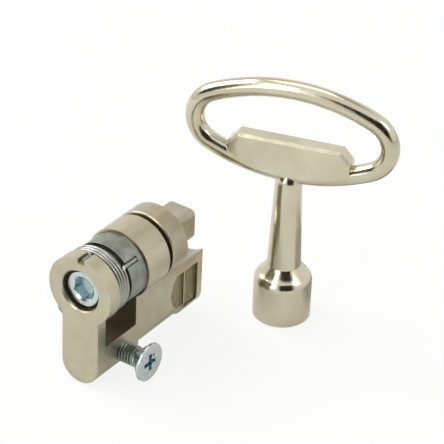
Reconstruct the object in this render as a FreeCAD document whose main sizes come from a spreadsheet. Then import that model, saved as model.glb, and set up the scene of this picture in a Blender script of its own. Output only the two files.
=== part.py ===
"""Spring-return cabinet lock: a half cylinder of Euro profile with a square drive, and its ring-handled key.

The lock's turning axis is the Y axis. Y = 0 is the cam-side end face, +Y runs to the key side,
+Z points to the round head and +X to the side of the fixing screw. All sizes are in millimetres.
"""
import FreeCAD, Part
import math
import os

import Sketcher

# Driving sizes: name, value, meaning

SIZES = [
    ("head_radius", 8.5, "radius of the profile's round head"),
    ("stem_width", 10.0, "width of the profile's stem"),
    ("profile_height", 33.0, "height of the profile, head to foot"),
    ("body_length", 40.0, "length of the half cylinder"),
    ("stub_stem_length", 3.0, "thickness of the stem in front of the cam gap"),
    ("stub_head_length", 3.65, "thickness of the head in front of the cam gap"),
    ("gap_end", 14.35, "where the cam gap ends"),
    ("web_height", 10.0, "height of the web under the cam gap"),
    ("tube_end", 22.1, "where the head tube ends"),
    ("cradle_clearance", 0.1, "gap between the flange and its cradle"),
    ("relief_start", 15.5, "where the raised underside starts"),
    ("relief_height", 1.9, "how far the underside is raised"),
    ("foot_start", 33.0, "where the end foot starts"),
    ("foot_lift", 1.1, "height of the end foot above the front part's underside"),
    ("foot_corner", 2.7, "corner radius of the end foot"),
    ("stub_bore_radius", 5.0, "bore round the cap screw's head"),
    ("stub_bore_chamfer", 0.3, "chamfer at the mouth of that bore"),
    ("pocket_depth", 0.8, "depth of the square side pocket"),
    ("pocket_top", -9.7, "top of the side pockets"),
    ("pocket_bottom", -20.0, "bottom of the square side pocket"),
    ("pocket_end", 38.15, "far edge of the square side pocket"),
    ("rib_start", 32.75, "near edge of the rib between the pockets"),
    ("rib_width", 0.4, "width of that rib"),
    ("ramp_start", 27.9, "near edge of the sloping pocket, at its middle"),
    ("ramp_bottom", -18.6, "bottom of the sloping pocket"),
    ("ramp_bulge", 1.9, "how far that edge is curved"),
    ("ramp_depth", 0.4, "depth of the sloping pocket beside the rib"),
    ("ramp_floor", 0.6, "width of its deepest strip"),
    ("fixing_place", 10.0, "centre of the fixing screw's hole from the cam-side face"),
    ("fixing_height", 5.2, "height of that hole's centre above the underside"),
    ("fixing_hole_radius", 2.5, "radius of the M5 hole"),
    ("thread_clearance", 0.05, "radial clearance of a screw in its thread"),
    ("running_clearance", 0.05, "radial clearance of the journal in the head tube"),
    ("end_play", 0.1, "axial play between the cam and the head tube"),
    ("journal_radius", 6.2, "journal of the drive insert"),
    ("collar_radius", 6.9, "collar between the head tube and the flange"),
    ("collar_length", 1.5, "length of that collar"),
    ("collar_seat", 0.05, "gap between the collar and the head tube"),
    ("flange_length", 5.6, "length of the flange"),
    ("flange_chamfer", 0.3, "chamfer of the flange's edges"),
    ("stud_width", 7.8, "width across the flats of the square stud"),
    ("stud_length", 9.2, "length of the square stud"),
    ("stud_corner", 1.5, "corner radius of the square stud"),
    ("stud_chamfer", 0.4, "chamfer round the stud's end"),
    ("shank_width", 8.0, "width across the flats of the cam's square seat"),
    ("shank_corner", 1.0, "corner radius of that seat"),
    ("square_clearance", 0.05, "clearance of the cam on its square seat"),
    ("wire_diameter", 0.85, "wire of the return spring"),
    ("coil_radius", 7.8, "mean radius of the return spring"),
    ("coil_pitch", 1.32, "advance of the return spring for each turn"),
    ("coil_turns", 3.0, "whole turns of the return spring, before the legs' offset"),
    ("leg_bend", 0.9, "bend radius of the spring's legs"),
    ("leg_front_angle", 88.0, "angle of the front leg"),
    ("leg_rear_angle", 38.0, "angle of the rear leg"),
    ("leg_inset", 0.9, "gap between the front leg's tip and the end face"),
    ("rear_leg_length", 3.6, "length of the rear leg past the coil"),
    ("coil_seat", 0.12, "gap between the coil and what it lies against"),
    ("leg_slot_width", 1.25, "width of the slot in the cam for the rear leg"),
    ("notch_width", 1.7, "width of the notch in the stub for the front leg"),
    ("leg_slot_floor", 7.2, "radius of the floor of the slot and the notch"),
    ("hub_radius", 6.6, "cam hub inside the spring"),
    ("hub_gap", 0.2, "gap between the cam hub and the stub"),
    ("sleeve_radius", 7.95, "sleeve of the cam"),
    ("lobe_radius", 13.2, "tip radius of the cam's lobe"),
    ("lobe_width", 9.4, "width of the lobe"),
    ("lobe_length", 10.0, "length of the lobe along the axis"),
    ("lobe_gap", 0.4, "gap between the lobe and the stub's stem"),
    ("lobe_angle", -112.0, "direction of the lobe at rest"),
    ("lobe_corner", 1.4, "corner radius of the lobe's tip"),
    ("lobe_undercut", 8.85, "inner radius of the lobe where it overhangs the spring"),
    ("dog_angle", 45.0, "direction of the stop dog at rest"),
    ("dog_width", 50.0, "width of the stop dog, in degrees"),
    ("dog_length", 1.4, "length of the stop dog"),
    ("dog_radius", 7.3, "outer radius of the stop dog"),
    ("dog_clearance", 0.2, "clearance round the stop dog"),
    ("cam_travel", 90.0, "turn of the cam, in degrees"),
    ("stop_margin", 1.5, "free angle left at each stop"),
    ("cap_head_radius", 4.25, "head of the cap screw"),
    ("cap_head_height", 5.0, "height of that head"),
    ("cap_inset", 1.2, "depth of the head's face below the end face"),
    ("cap_head_chamfer", 0.25, "chamfer of that head"),
    ("cap_thread_radius", 3.0, "M6 thread of the cap screw"),
    ("cap_thread_length", 10.0, "length under the cap screw's head"),
    ("cap_hole_spare", 2.0, "depth of the tapped hole past the screw's tip"),
    ("hex_width", 5.0, "width across the flats of the hexagon socket"),
    ("hex_depth", 3.0, "depth of that socket"),
    ("hex_angle", 23.5, "direction of the hexagon's first corner"),
    ("washer_thickness", 0.6, "thickness of the split washer"),
    ("washer_radius", 4.25, "outer radius of the split washer"),
    ("washer_slit", 0.7, "slit of the split washer"),
    ("counterbore_clearance", 0.2, "room round the cap screw's head in the cam"),
    ("fixing_head_radius", 4.6, "head of the fixing screw"),
    ("fixing_head_rim", 0.35, "straight rim of that head"),
    ("fixing_face", 12.4, "face of the fixing screw's head"),
    ("fixing_length", 16.0, "overall length of the fixing screw"),
    ("fixing_tip", 0.6, "chamfer of the fixing screw's tip"),
    ("key_across", 20.2, "key's place across the lock"),
    ("key_along", 51.4, "key's place along the lock's axis"),
    ("key_turn", 16.8, "direction of the key's bow"),
    ("socket_radius", 6.85, "key's round socket"),
    ("socket_height", 9.4, "straight height of the socket"),
    ("socket_chamfer", 0.3, "chamfer at the socket's foot"),
    ("socket_clearance", 0.3, "room for the square stud in the socket"),
    ("socket_depth", 12.0, "depth of the square hole"),
    ("shoulder_radius", 3.0, "round of the key's shoulder"),
    ("shoulder_angle", 55.0, "where that round ends, in degrees"),
    ("neck_radius", 4.0, "foot of the key's shank"),
    ("neck_height", 14.0, "height of that foot"),
    ("nose_radius", 3.15, "top of the key's shank"),
    ("nose_drop", 0.25, "how far under the bow's lowest point that round top starts"),
    ("bow_half_width", 23.0, "half width of the bow, on its centreline"),
    ("bow_half_height", 10.7, "half height of the bow, on its centreline"),
    ("bow_end_radius", 7.1, "radius of the bow's tight ends, on its centreline"),
    ("bow_centre", 49.1, "height of the bow's centre"),
    ("bow_wire", 2.2, "radius of the bow's section"),
    ("plate_half_width", 14.5, "half width of the bow's plate"),
    ("plate_drop", 2.0, "how far the plate's top lies under the bow's centre"),
    ("plate_cut_across", 2.3, "width of the plate's cut corners"),
    ("plate_cut_down", 2.5, "height of the plate's cut corners"),
    ("plate_sink", 0.05, "how far the plate's faces lie under the bow's sides"),
    ("plate_chamfer", 0.6, "chamfer of the plate's upper edges"),
    ("cut_spare", 1.0, "how far a cut runs out past the surface it opens"),
]


class Term:
    """A number that also holds the sheet formula it comes from."""

    def __init__(self, value, formula):
        self.value = float(value)
        self.formula = formula

    def joined(self, other, sign, value, swap=False):
        other = term(other)
        first, second = (other, self) if swap else (self, other)
        return Term(value, "(%s %s %s)" % (first.formula, sign, second.formula))

    def __add__(self, other):
        return self.joined(other, "+", self.value + number(other))

    def __radd__(self, other):
        return self.joined(other, "+", self.value + number(other), swap=True)

    def __sub__(self, other):
        return self.joined(other, "-", self.value - number(other))

    def __rsub__(self, other):
        return self.joined(other, "-", number(other) - self.value, swap=True)

    def __mul__(self, other):
        return self.joined(other, "*", self.value * number(other))

    def __rmul__(self, other):
        return self.joined(other, "*", self.value * number(other), swap=True)

    def __truediv__(self, other):
        return self.joined(other, "/", self.value / number(other))

    def __neg__(self):
        return Term(-self.value, "(-1 * %s)" % self.formula)


def number(value):
    return value.value if isinstance(value, Term) else float(value)


def term(value):
    return value if isinstance(value, Term) else Term(value, repr(float(value)))


def root(value):
    return Term(math.sqrt(value.value), "sqrt(%s)" % value.formula)


def cosine(degrees):
    return Term(math.cos(math.radians(number(degrees))), "cos(%s * 1deg)" % term(degrees).formula)


def sine(degrees):
    return Term(math.sin(math.radians(number(degrees))), "sin(%s * 1deg)" % term(degrees).formula)


class Sizes:
    """The sheet of driving sizes; each size is an attribute that holds a Term."""

    def __init__(self, document, rows):
        self.sheet = document.addObject("Spreadsheet::Sheet", "Sizes")
        for row, (name, value, meaning) in enumerate(rows, 1):
            self.sheet.set("A%d" % row, meaning)
            self.sheet.set("B%d" % row, str(value))
            self.sheet.setAlias("B%d" % row, name)
            setattr(self, name, Term(value, "Sizes.%s" % name))


# Sketches and features


def bind(feature, path, value):
    """Sets a feature's size through the formula of its term."""
    feature.setExpression(path, term(value).formula)


def new_body(label):
    body = doc.addObject("PartDesign::Body", label)
    body.Label = label
    return body


def origin_plane(body, role):
    return next(plane for plane in body.Origin.OriginFeatures if plane.Role == role)


def sketch_on(body, role, name, offset, turn=0):
    sketch = body.newObject("Sketcher::SketchObject", name)
    sketch.AttachmentSupport = [(origin_plane(body, role), "")]
    sketch.MapMode = "FlatFace"
    bind(sketch, "AttachmentOffset.Base.z", offset)
    if number(turn):
        spin = FreeCAD.Rotation(FreeCAD.Vector(0, 0, 1), number(turn))
        sketch.AttachmentOffset = FreeCAD.Placement(FreeCAD.Vector(0, 0, number(offset)), spin)
        bind(sketch, "AttachmentOffset.Rotation.Angle", turn)
    return sketch


def across(body, name, along=0, turn=0):
    """A sketch square to the lock's axis: its x is X and its y is Z, and it faces -Y."""
    return sketch_on(body, "XZ_Plane", name, -term(along), turn)


def beside(body, name, out=0):
    """A sketch seen from the side: its x is Y and its y is Z, and it faces +X."""
    return sketch_on(body, "YZ_Plane", name, out)


def level(body, name, height=0):
    """A sketch seen from above: its x is X and its y is Y, and it faces +Z."""
    return sketch_on(body, "XY_Plane", name, height)


def place(sketch, geometry, position, x, y):
    """Ties a point of the sketch to its distances from the origin."""
    for kind, value in (("DistanceX", x), ("DistanceY", y)):
        if value is None:
            continue
        index = sketch.addConstraint(Sketcher.Constraint(kind, -1, 1, geometry, position, number(value)))
        bind(sketch, "Constraints[%d]" % index, value)


def arc_between(start, end, centre, turn):
    """An arc round centre; turn is 1 for anticlockwise travel and -1 for clockwise."""
    first, last = (start, end) if turn > 0 else (end, start)
    angles = [math.atan2(point[1] - centre[1], point[0] - centre[0]) for point in (first, last)]
    if angles[1] <= angles[0]:
        angles[1] += 2 * math.pi
    radius = math.hypot(first[0] - centre[0], first[1] - centre[1])
    circle = Part.Circle(FreeCAD.Vector(centre[0], centre[1], 0), FreeCAD.Vector(0, 0, 1), radius)
    return Part.ArcOfCircle(circle, angles[0], angles[1])


def outline(sketch, points, closing=None):
    """Draws a closed outline. A point is (x, y), or (x, y, centre x, centre y, turn) where an arc
    reaches it; closing is (centre x, centre y, turn) where an arc leads back to the first point."""
    corners = [(number(point[0]), number(point[1])) for point in points]
    count = len(points)
    geometries = []
    ends = []
    for index in range(count):
        after = (index + 1) % count
        arc = closing if after == 0 else (points[after][2:] or None)
        if arc:
            centre = (number(arc[0]), number(arc[1]))
            made = arc_between(corners[index], corners[after], centre, arc[2])
            geometries.append(sketch.addGeometry(made, False))
            ends.append((1, 2) if arc[2] > 0 else (2, 1))
            wide = abs(corners[after][0] - corners[index][0]) >= abs(corners[after][1] - corners[index][1])
            place(sketch, geometries[-1], 3, None if wide else arc[0], arc[1] if wide else None)
        else:
            start = FreeCAD.Vector(corners[index][0], corners[index][1], 0)
            end = FreeCAD.Vector(corners[after][0], corners[after][1], 0)
            geometries.append(sketch.addGeometry(Part.LineSegment(start, end), False))
            ends.append((1, 2))
    for index in range(count):
        before = index - 1
        place(sketch, geometries[index], ends[index][0], points[index][0], points[index][1])
        link = Sketcher.Constraint(
            "Coincident", geometries[before], ends[before][1], geometries[index], ends[index][0]
        )
        sketch.addConstraint(link)
    return sketch


def disc(sketch, x, y, radius):
    centre = FreeCAD.Vector(number(x), number(y), 0)
    made = sketch.addGeometry(Part.Circle(centre, FreeCAD.Vector(0, 0, 1), number(radius)), False)
    place(sketch, made, 3, x, y)
    index = sketch.addConstraint(Sketcher.Constraint("Radius", made, number(radius)))
    bind(sketch, "Constraints[%d]" % index, radius)
    return sketch


def rectangle(sketch, left, low, right, high):
    return outline(sketch, [(left, low), (right, low), (right, high), (left, high)])


def rounded_square(sketch, width, corner):
    """A square round the origin, with round corners."""
    side = width / 2
    flat = side - corner
    return outline(
        sketch,
        [
            (flat, -side),
            (side, -flat, flat, -flat, 1),
            (side, flat),
            (flat, side, flat, flat, 1),
            (-flat, side),
            (-side, flat, -flat, flat, 1),
            (-side, -flat),
            (-flat, -side, -flat, -flat, 1),
        ],
    )


def feature_of(kind, sketch, name):
    body = sketch.getParentGeoFeatureGroup()
    made = body.newObject("PartDesign::" + kind, name)
    made.Profile = sketch
    sketch.Visibility = False
    return made


def extrude(kind, sketch, name, length, back=False, both=False):
    """A pad or pocket; a pad goes the way its sketch faces and a pocket the other way, unless back."""
    made = feature_of(kind, sketch, name)
    if length is None:
        made.Type = "ThroughAll"
    else:
        bind(made, "Length", length)
    made.Midplane = both
    made.Reversed = back
    return made


def pad_along(sketch, name, length):
    """A pad from a sketch across the axis, towards +Y."""
    return extrude("Pad", sketch, name, length, back=True)


def cut_along(sketch, name, length=None):
    """A pocket from a sketch across the axis, towards +Y."""
    return extrude("Pocket", sketch, name, length)


def cut_through(sketch, name, length):
    """A pocket to both sides of its sketch."""
    return extrude("Pocket", sketch, name, length, both=True)


def revolve(sketch, name, axis):
    made = feature_of("Revolution", sketch, name)
    made.ReferenceAxis = (sketch, [axis])
    made.Angle = 360
    return made


def edges_where(feature, test):
    """Names of the feature's edges that pass the test."""
    return ["Edge%d" % (i + 1) for i, edge in enumerate(feature.Shape.Edges) if test(edge)]


def work_edges(kind, path, feature, name, size, test):
    doc.recompute()
    body = feature.getParentGeoFeatureGroup()
    names = edges_where(feature, test)
    if not names:
        raise ValueError("no edge found for " + name)
    made = body.newObject("PartDesign::" + kind, name)
    made.Base = (feature, names)
    bind(made, path, size)
    return made


def chamfer(feature, name, size, test):
    return work_edges("Chamfer", "Size", feature, name, size, test)


def fillet(feature, name, radius, test):
    return work_edges("Fillet", "Radius", feature, name, radius, test)


def runs_along(edge, radius):
    """True for a straight edge that runs along the lock's axis, at that distance from it."""
    start, end = edge.Vertexes[0].Point, edge.Vertexes[-1].Point
    straight = close(start.x, end.x) and close(start.z, end.z)
    return straight and close(math.hypot(start.x, start.z), number(radius))


def close(first, second):
    return abs(first - second) < 0.001


def lies_at(edge, axis, value):
    """True where the whole edge lies at one value of x, y or z."""
    low, high = getattr(edge.BoundBox, axis + "Min"), getattr(edge.BoundBox, axis + "Max")
    return close(low, value) and close(high, value)


# Places worked out from the driving sizes


class Places:
    """Places and sizes shared by several pieces."""

    def __init__(self, s):
        half = s.stem_width / 2
        self.half_stem = half
        self.junction = -root(s.head_radius * s.head_radius - half * half)
        self.foot_centre = s.head_radius + half - s.profile_height
        self.bottom = s.head_radius - s.profile_height
        self.web_top = self.bottom + s.web_height
        self.fixing_height = self.bottom + s.fixing_height
        self.cradle_radius = s.head_radius + s.cradle_clearance
        self.tube_bore = s.journal_radius + s.running_clearance
        self.sleeve_rear = s.gap_end - s.end_play
        self.collar_start = s.tube_end + s.collar_seat
        self.flange_start = s.tube_end + s.collar_length
        self.flange_end = self.flange_start + s.flange_length
        self.wire = s.wire_diameter / 2
        self.turned = s.coil_turns * 360 + s.leg_rear_angle - s.leg_front_angle
        self.coil_first = s.stub_head_length + s.coil_seat + self.wire
        self.coil_last = self.coil_first + s.coil_pitch * self.turned / 360
        self.sleeve_front = self.coil_last + self.wire + s.coil_seat
        self.hub_front = s.stub_head_length + s.hub_gap
        self.head_rear = s.cap_inset + s.cap_head_height
        self.cam_seat = self.head_rear + s.washer_thickness
        self.shank_front = self.cam_seat + s.end_play
        self.lobe_front = s.stub_stem_length + s.lobe_gap
        self.lobe_rear = self.lobe_front + s.lobe_length
        self.plate_top = s.bow_centre - s.plate_drop
        self.plate_thickness = (s.bow_wire - s.plate_sink) * 2
        high, end = s.bow_half_height, s.bow_end_radius
        shift = s.bow_half_width - end
        self.bow_crown = (shift * shift + high * high - end * end) / ((high - end) * 2)
        self.bow_drop = self.bow_crown - high
        self.nose_height = s.bow_centre - high - s.bow_wire - s.nose_drop


# Sub-parts


def euro_profile(sketch, lift=0):
    """The profile's section: a round head on a stem with a round foot, raised by lift."""
    half = p.half_stem
    low = p.foot_centre + lift
    return outline(
        sketch,
        [
            (half, p.junction),
            (-half, p.junction, term(0), term(0), 1),
            (-half, low),
            (half, low, term(0), low, 1),
        ],
    )


def make_cylinder_body():
    body = new_body("cylinder_body")
    front = euro_profile(across(body, "front_section"))
    pad_along(front, "front_block", s.relief_start)
    raised = euro_profile(across(body, "raised_section", s.relief_start), s.relief_height)
    pad_along(raised, "raised_block", s.body_length - s.relief_start)
    foot = euro_profile(across(body, "foot_section", s.foot_start), s.foot_lift)
    pad_along(foot, "end_foot", s.body_length - s.foot_start)

    above = s.head_radius + s.cut_spare
    wide = s.head_radius * 3
    gap = outline(
        beside(body, "cam_gap_side"),
        [
            (s.stub_stem_length, p.web_top),
            (s.gap_end, p.web_top),
            (s.gap_end, above),
            (s.stub_head_length, above),
            (s.stub_head_length, p.junction),
            (s.stub_stem_length, p.junction),
        ],
    )
    cut_through(gap, "cam_gap", wide)
    cradle = disc(across(body, "cradle_circle", s.tube_end), 0, 0, p.cradle_radius)
    cut_along(cradle, "flange_cradle")
    cut_along(disc(across(body, "tube_bore_circle", s.gap_end), 0, 0, p.tube_bore), "tube_bore")
    stub_bore = disc(across(body, "stub_bore_circle"), 0, 0, s.stub_bore_radius)
    mouth = cut_along(stub_bore, "stub_bore", s.stub_head_length)
    chamfer(mouth, "bore_mouth", s.stub_bore_chamfer, lambda edge: is_circle(edge, s.stub_bore_radius, 0))

    recess = stop_sector(
        across(body, "stop_recess_sector", s.gap_end),
        s.dog_radius + s.dog_clearance,
        s.dog_angle - s.dog_width / 2 - s.stop_margin,
        s.dog_angle + s.dog_width / 2 + s.cam_travel + s.stop_margin,
    )
    cut_along(recess, "stop_recess", s.dog_length + s.dog_clearance)
    notch = leg_slot(across(body, "leg_notch_outline", 0, s.leg_front_angle - 90), s.notch_width)
    cut_along(notch, "leg_notch", s.stub_head_length)
    fixing = disc(beside(body, "fixing_hole_circle"), s.fixing_place, p.fixing_height, s.fixing_hole_radius)
    cut_through(fixing, "fixing_hole", wide)

    under = p.bottom + s.foot_lift
    beyond = s.body_length + s.cut_spare
    below = under - s.cut_spare
    corner = outline(
        beside(body, "foot_corner_outline"),
        [
            (beyond, below),
            (beyond, under + s.foot_corner),
            (s.body_length, under + s.foot_corner),
            (s.body_length - s.foot_corner, under, s.body_length - s.foot_corner, under + s.foot_corner, -1),
            (s.body_length - s.foot_corner, below),
        ],
    )
    cut_through(corner, "foot_corner_round", wide)
    add_side_pockets(body)
    return body


def is_circle(edge, radius, along):
    """True for a circle of that radius round the lock's axis, at that place along it."""
    curve = edge.Curve
    return isinstance(curve, Part.Circle) and close(curve.Radius, number(radius)) and lies_at(
        edge, "Y", number(along)
    )


def add_side_pockets(body):
    """A square pocket and a scooped one beside it, with a rib between them, on both sides."""
    half = p.half_stem
    rib_end = s.rib_start + s.rib_width
    square = rectangle(
        beside(body, "square_pocket_outline", half), rib_end, s.pocket_bottom, s.pocket_end, s.pocket_top
    )
    square_pocket = extrude("Pocket", square, "square_pocket", s.pocket_depth)
    mouth = scoop(beside(body, "scoop_mouth", half), s.ramp_start + s.ramp_bulge, s.ramp_bulge)
    floor_start = s.rib_start - s.ramp_floor
    floor = scoop(beside(body, "scoop_floor", half - s.ramp_depth), floor_start, s.ramp_floor / 2)
    sloping_pocket = feature_of("SubtractiveLoft", mouth, "sloping_pocket")
    sloping_pocket.Sections = [floor]
    sloping_pocket.Ruled = True
    floor.Visibility = False
    mirrored = body.newObject("PartDesign::Mirrored", "far_side_pockets")
    mirrored.Originals = [square_pocket, sloping_pocket]
    mirrored.MirrorPlane = (origin_plane(body, "YZ_Plane"), [""])
    body.Tip = mirrored


def scoop(sketch, corner, bulge):
    """An outline against the rib, whose near edge bulges out from its corners."""
    half = (s.pocket_top - s.ramp_bottom) / 2
    middle = (s.pocket_top + s.ramp_bottom) / 2
    radius = (half * half + bulge * bulge) / (bulge * 2)
    return outline(
        sketch,
        [
            (s.rib_start, s.ramp_bottom),
            (s.rib_start, s.pocket_top),
            (corner, s.pocket_top),
            (corner, s.ramp_bottom, corner - bulge + radius, middle, 1),
        ],
    )


def leg_slot(sketch, width):
    """A slot open to the outside, for a leg of the spring; the sketch is turned to the leg."""
    half = width / 2
    return rectangle(sketch, -half, s.leg_slot_floor, half, s.head_radius + s.cut_spare)


def stop_sector(sketch, radius, first, last):
    """A sector of under half a turn round the axis, from angle first to angle last."""
    return outline(
        sketch,
        [
            (term(0), term(0)),
            (radius * cosine(first), radius * sine(first)),
            (radius * cosine(last), radius * sine(last), term(0), term(0), 1),
        ],
    )


def make_drive_insert():
    body = new_body("drive_insert")
    edge = s.flange_chamfer
    turned = outline(
        level(body, "turned_outline"),
        [
            (term(0), s.gap_end),
            (s.journal_radius, s.gap_end),
            (s.journal_radius, p.collar_start),
            (s.collar_radius, p.collar_start),
            (s.collar_radius, p.flange_start),
            (s.head_radius - edge, p.flange_start),
            (s.head_radius, p.flange_start + edge),
            (s.head_radius, p.flange_end - edge),
            (s.head_radius - edge, p.flange_end),
            (term(0), p.flange_end),
        ],
    )
    revolve(turned, "turned_blank", "V_Axis")
    stud = rounded_square(across(body, "stud_outline", p.flange_end), s.stud_width, s.stud_corner)
    square = pad_along(stud, "square_stud", s.stud_length)
    end = number(p.flange_end + s.stud_length)
    chamfer(square, "stud_end", s.stud_chamfer, lambda item: lies_at(item, "Y", end))
    shank = rounded_square(across(body, "shank_outline", s.gap_end), s.shank_width, s.shank_corner)
    extrude("Pad", shank, "square_shank", s.gap_end - p.shank_front)
    hole = disc(across(body, "tapped_hole_circle", p.shank_front), 0, 0, s.cap_thread_radius)
    cut_along(hole, "tapped_hole", p.head_rear + s.cap_thread_length + s.cap_hole_spare - p.shank_front)
    return body


def make_cam():
    body = new_body("cam")
    turned = outline(
        level(body, "sleeve_outline"),
        [
            (term(0), p.hub_front),
            (s.hub_radius, p.hub_front),
            (s.hub_radius, p.sleeve_front),
            (s.sleeve_radius, p.sleeve_front),
            (s.sleeve_radius, p.sleeve_rear),
            (term(0), p.sleeve_rear),
        ],
    )
    revolve(turned, "sleeve", "V_Axis")
    side = s.lobe_width / 2
    shoulder = root(s.lobe_radius * s.lobe_radius - side * side)
    undercut = root(s.lobe_undercut * s.lobe_undercut - side * side)
    turn = s.lobe_angle - 90
    lobe = outline(
        across(body, "lobe_outline", p.sleeve_front, turn),
        [
            (side, s.hub_radius / 2),
            (side, shoulder),
            (-side, shoulder, term(0), term(0), 1),
            (-side, s.hub_radius / 2),
        ],
    )
    pad_along(lobe, "lobe", p.lobe_rear - p.sleeve_front)
    overhang = outline(
        across(body, "overhang_outline", p.lobe_front, turn),
        [(side, undercut), (side, shoulder), (-side, shoulder, term(0), term(0), 1), (-side, undercut)],
        closing=(term(0), term(0), -1),
    )
    whole_lobe = pad_along(overhang, "lobe_overhang", p.sleeve_front - p.lobe_front)
    fillet(whole_lobe, "lobe_corners", s.lobe_corner, lambda edge: runs_along(edge, s.lobe_radius))
    dog = stop_sector(
        across(body, "stop_dog_sector", p.sleeve_rear),
        s.dog_radius,
        s.dog_angle - s.dog_width / 2,
        s.dog_angle + s.dog_width / 2,
    )
    pad_along(dog, "stop_dog", s.dog_length)
    journal_room = disc(across(body, "dog_bore_circle", p.sleeve_rear), 0, 0, s.journal_radius + s.dog_clearance)
    cut_along(journal_room, "dog_bore")
    seat = rounded_square(
        across(body, "square_seat_outline", p.hub_front), s.shank_width + s.square_clearance * 2, s.shank_corner
    )
    cut_along(seat, "square_seat")
    sink = disc(
        across(body, "counterbore_circle", p.hub_front), 0, 0, s.cap_head_radius + s.counterbore_clearance
    )
    cut_along(sink, "counterbore", p.cam_seat - p.hub_front)
    slot = leg_slot(across(body, "leg_slot_outline", p.sleeve_front, s.leg_rear_angle - 90), s.leg_slot_width)
    cut_along(slot, "leg_slot", s.rear_leg_length + s.coil_seat * 4)
    return body


def make_cap_screw():
    body = new_body("cap_screw")
    thread = s.cap_thread_radius - s.thread_clearance
    tip = p.head_rear + s.cap_thread_length
    edge = s.cap_head_chamfer
    turned = outline(
        level(body, "screw_outline"),
        [
            (term(0), s.cap_inset),
            (s.cap_head_radius - edge, s.cap_inset),
            (s.cap_head_radius, s.cap_inset + edge),
            (s.cap_head_radius, p.head_rear),
            (thread, p.head_rear),
            (thread, tip - edge * 2),
            (thread - edge * 2, tip),
            (term(0), tip),
        ],
    )
    revolve(turned, "screw_blank", "V_Axis")
    corner = s.hex_width / 2 / cosine(30)
    hexagon = outline(
        across(body, "hexagon", s.cap_inset, s.hex_angle),
        [(corner * cosine(60 * i), corner * sine(60 * i)) for i in range(6)],
    )
    cut_along(hexagon, "hex_socket", s.hex_depth)
    return body


def make_lock_washer():
    """A split washer under the cap screw's head."""
    body = new_body("lock_washer")
    pad_along(disc(across(body, "rim", p.head_rear), 0, 0, s.washer_radius), "ring", s.washer_thickness)
    eye = disc(across(body, "eye", p.head_rear), 0, 0, s.cap_thread_radius + s.thread_clearance)
    cut_along(eye, "screw_hole")
    slit = s.washer_slit / 2
    outside = s.washer_radius + s.cut_spare
    cut_along(rectangle(across(body, "slit", p.head_rear), -slit, 0, slit, outside), "split")
    return body


def make_fixing_screw():
    """A countersunk screw along X, modelled on its own axis and set into the web's hole."""
    body = new_body("fixing_screw")
    thread = s.fixing_hole_radius - s.thread_clearance
    tip = s.fixing_face - s.fixing_length
    cone = s.fixing_face - s.fixing_head_rim - (s.fixing_head_radius - thread)
    turned = outline(
        sketch_on(body, "XZ_Plane", "screw_outline", 0),
        [
            (tip, term(0)),
            (s.fixing_face, term(0)),
            (s.fixing_face, s.fixing_head_radius),
            (s.fixing_face - s.fixing_head_rim, s.fixing_head_radius),
            (cone, thread),
            (tip + s.fixing_tip, thread),
            (tip, thread - s.fixing_tip),
        ],
    )
    revolve(turned, "screw_blank", "H_Axis")
    bind(body, "Placement.Base.y", s.fixing_place)
    bind(body, "Placement.Base.z", p.fixing_height)
    return body


def make_key():
    """The key stands on its socket: a shank under a plate in an oval bow."""
    body = new_body("key")
    round_end = s.shoulder_angle
    shoulder = s.socket_radius - s.shoulder_radius
    turned = outline(
        sketch_on(body, "XZ_Plane", "shank_outline", 0),
        [
            (term(0), term(0)),
            (s.socket_radius - s.socket_chamfer, term(0)),
            (s.socket_radius, s.socket_chamfer),
            (s.socket_radius, s.socket_height),
            (
                shoulder + s.shoulder_radius * cosine(round_end),
                s.socket_height + s.shoulder_radius * sine(round_end),
                shoulder,
                s.socket_height,
                1,
            ),
            (s.neck_radius, s.neck_height),
            (s.nose_radius, p.nose_height),
            (term(0), p.nose_height + s.nose_radius, term(0), p.nose_height, 1),
        ],
    )
    revolve(turned, "socket_and_shank", "V_Axis")
    add_bow(body)
    add_plate(body)
    hole = rounded_square(level(body, "square_hole_outline"), s.stud_width + s.socket_clearance, s.stud_corner)
    extrude("Pocket", hole, "square_hole", s.socket_depth, back=True)
    bind(body, "Placement.Base.x", s.key_across)
    bind(body, "Placement.Base.y", s.key_along)
    bind(body, "Placement.Base.z", p.bottom)
    bind(body, "Placement.Rotation.Angle", s.key_turn)
    return body


def add_bow(body):
    """The bow: a round section led along an upright oval of four arcs."""
    wide, end = s.bow_half_width, s.bow_end_radius
    shift = wide - end
    share = end / (p.bow_crown - end)
    across_joint = shift + shift * share
    up_joint = p.bow_drop * share
    top, low = s.bow_centre + p.bow_drop, s.bow_centre - p.bow_drop
    spine = outline(
        sketch_on(body, "XZ_Plane", "bow_centreline", 0),
        [
            (across_joint, s.bow_centre - up_joint),
            (across_joint, s.bow_centre + up_joint, shift, s.bow_centre, 1),
            (-across_joint, s.bow_centre + up_joint, term(0), low, 1),
            (-across_joint, s.bow_centre - up_joint, -shift, s.bow_centre, 1),
        ],
        closing=(term(0), top, 1),
    )
    section = disc(level(body, "bow_section", s.bow_centre), wide, term(0), s.bow_wire)
    bow = feature_of("AdditivePipe", section, "bow")
    bow.Spine = (spine, ["Edge1", "Edge2", "Edge3", "Edge4"])
    spine.Visibility = False


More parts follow.
